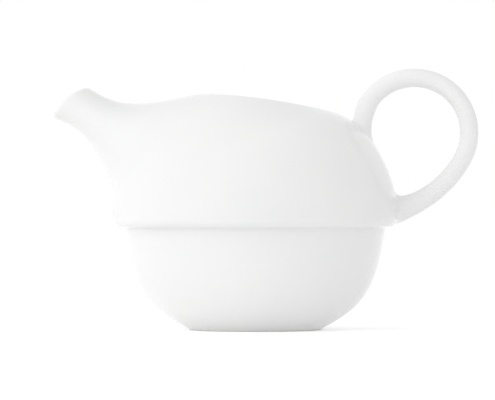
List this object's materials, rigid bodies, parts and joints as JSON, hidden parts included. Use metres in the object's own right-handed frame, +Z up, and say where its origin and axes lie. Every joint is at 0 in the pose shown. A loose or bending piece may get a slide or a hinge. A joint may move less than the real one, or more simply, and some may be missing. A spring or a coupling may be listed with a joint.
{
  "type": "gravy boat",
  "caption": "Round stepped porcelain gravy boat with a sloping open rim, a closed hooded spout and a ring handle.",
  "frame": {"origin": "on the bowl's axis, in the plane that the foot ring stands on", "axes": "+Z up, the handle towards +X, the spout towards -X, XZ the plane of symmetry"},
  "size_m": [0.1617, 0.1086, 0.0994],
  "materials": {
    "porcelain": "clear gloss glaze over white porcelain",
    "bisque": "unglazed fired porcelain, matt"
  },
  "bodies": {
    "root": {"foot_ring": "bisque", "bowl": "porcelain", "step_band": "porcelain", "shoulder": "porcelain", "spout": "porcelain", "handle_ring": "porcelain", "handle_upper_root": "porcelain", "handle_lower_arm": "porcelain"}
  },
  "joints": []
}
